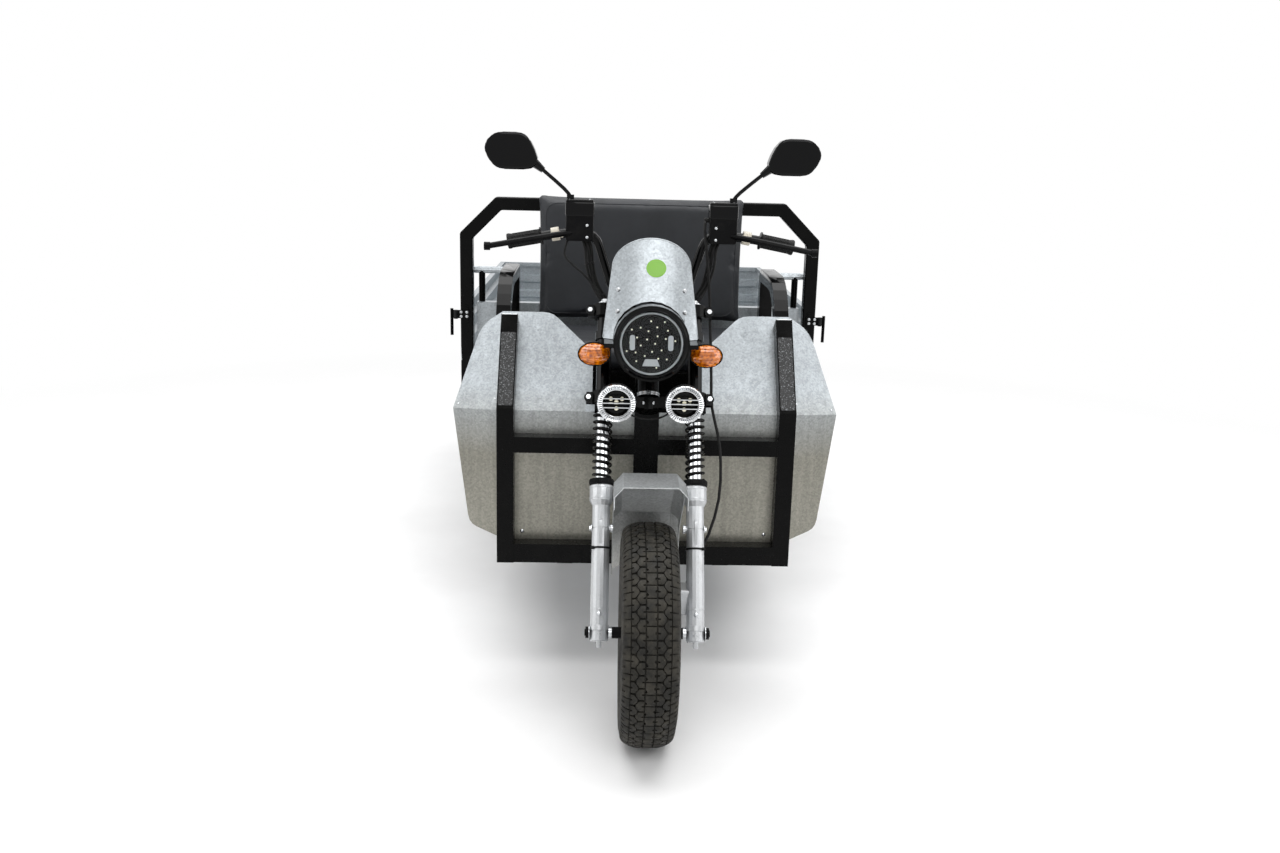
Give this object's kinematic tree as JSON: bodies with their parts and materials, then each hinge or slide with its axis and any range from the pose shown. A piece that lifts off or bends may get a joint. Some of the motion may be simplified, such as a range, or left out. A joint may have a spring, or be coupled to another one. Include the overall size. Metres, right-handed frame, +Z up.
{
  "type": "cargo motor tricycle",
  "caption": "Electric cargo motor tricycle with a front fork and leg shield, a bench seat with backrest, and an open bed with drop sides and a tailgate.",
  "frame": {"origin": "ground level under the middle of the bounding box", "axes": "+X to the vehicle's left, -Y forwards, +Z up"},
  "size_m": [1.2, 2.8858, 1.339],
  "materials": {
    "black_enamel": "gloss enamel",
    "galvanised_steel": "galvanised",
    "silver_paint": "satin silver",
    "chrome": "polished",
    "tyre_rubber": "matt",
    "hose_rubber": "matt",
    "vinyl": "matt vinyl",
    "amber_lens": "clear gloss",
    "red_lens": "clear gloss",
    "black_plastic": "gloss",
    "battery_case": "matt"
  },
  "bodies": {
    "chassis": {"armrest_left": "black_enamel", "armrest_right": "black_enamel", "battery_pack": "battery_case", "bed_floor": "galvanised_steel", "bed_frame": "black_enamel", "bed_front_board": "galvanised_steel", "bed_hoop": "black_enamel", "chassis_frame": "black_enamel", "floor_plate": "galvanised_steel", "front_frame": "black_enamel", "latch_left": "black_enamel", "latch_right": "black_enamel", "leaf_spring_left": "black_enamel", "leaf_spring_right": "black_enamel", "mudguard_left": "black_enamel", "mudguard_right": "black_enamel", "rear_axle": "black_enamel", "seat_backrest": "vinyl", "seat_box": "black_enamel", "seat_cushion": "vinyl", "shield_sheet_left": "galvanised_steel", "shield_sheet_right": "galvanised_steel", "tail_lamp_left": "red_lens", "tail_lamp_right": "red_lens"},
    "steering": {"brake_hose": "hose_rubber", "cowl": "galvanised_steel", "fog_lamp_left": "chrome", "fog_lamp_right": "chrome", "fork_leg_left": "silver_paint", "fork_leg_right": "silver_paint", "fork_spring_left": "black_enamel", "fork_spring_right": "black_enamel", "fork_tube_left": "black_enamel", "fork_tube_right": "black_enamel", "front_axle": "black_enamel", "front_fender": "galvanised_steel", "hand_control_left": "black_enamel", "hand_control_right": "black_enamel", "handlebar": "black_enamel", "headlamp": "black_enamel", "indicator_left": "amber_lens", "indicator_right": "amber_lens", "lower_yoke": "black_enamel", "mirror_left": "black_plastic", "mirror_right": "black_plastic", "upper_yoke": "black_enamel"},
    "front_wheel": {"front_tyre": "tyre_rubber", "front_rim": "silver_paint", "brake_disc": "chrome"},
    "rear_wheel_left": {"rear_tyre_left": "tyre_rubber", "rear_rim_left": "silver_paint"},
    "rear_wheel_right": {"rear_tyre_right": "tyre_rubber", "rear_rim_right": "silver_paint"},
    "side_board_left": {"side_board_left": "galvanised_steel"},
    "side_board_right": {"side_board_right": "galvanised_steel"},
    "tailgate": {"tailgate": "galvanised_steel"}
  },
  "joints": [
    {"name": "steering", "type": "hinge", "parent": "chassis", "child": "steering", "pos_m": [0, -0.88848, 0.70539], "axis": [0, 0.4695, 0.8829], "range_deg": [-38, 38]},
    {"name": "front_wheel_spin", "type": "hinge", "parent": "steering", "child": "front_wheel", "pos_m": [0, -1.1929, 0.25], "axis": [1, 0, 0], "continuous": true},
    {"name": "rear_wheel_left_spin", "type": "hinge", "parent": "chassis", "child": "rear_wheel_left", "pos_m": [0.465, 0.7571, 0.25], "axis": [1, 0, 0], "continuous": true},
    {"name": "rear_wheel_right_spin", "type": "hinge", "parent": "chassis", "child": "rear_wheel_right", "pos_m": [-0.465, 0.7571, 0.25], "axis": [1, 0, 0], "continuous": true},
    {"name": "side_board_left_hinge", "type": "hinge", "parent": "chassis", "child": "side_board_left", "pos_m": [0.552, 0.775, 0.585], "axis": [0, 1, 0], "range_deg": [0, 170]},
    {"name": "side_board_right_hinge", "type": "hinge", "parent": "chassis", "child": "side_board_right", "pos_m": [-0.552, 0.775, 0.585], "axis": [0, -1, 0], "range_deg": [0, 170]},
    {"name": "tailgate_hinge", "type": "hinge", "parent": "chassis", "child": "tailgate", "pos_m": [0, 1.4344, 0.585], "axis": [-1, 0, 0], "range_deg": [0, 170]}
  ]
}
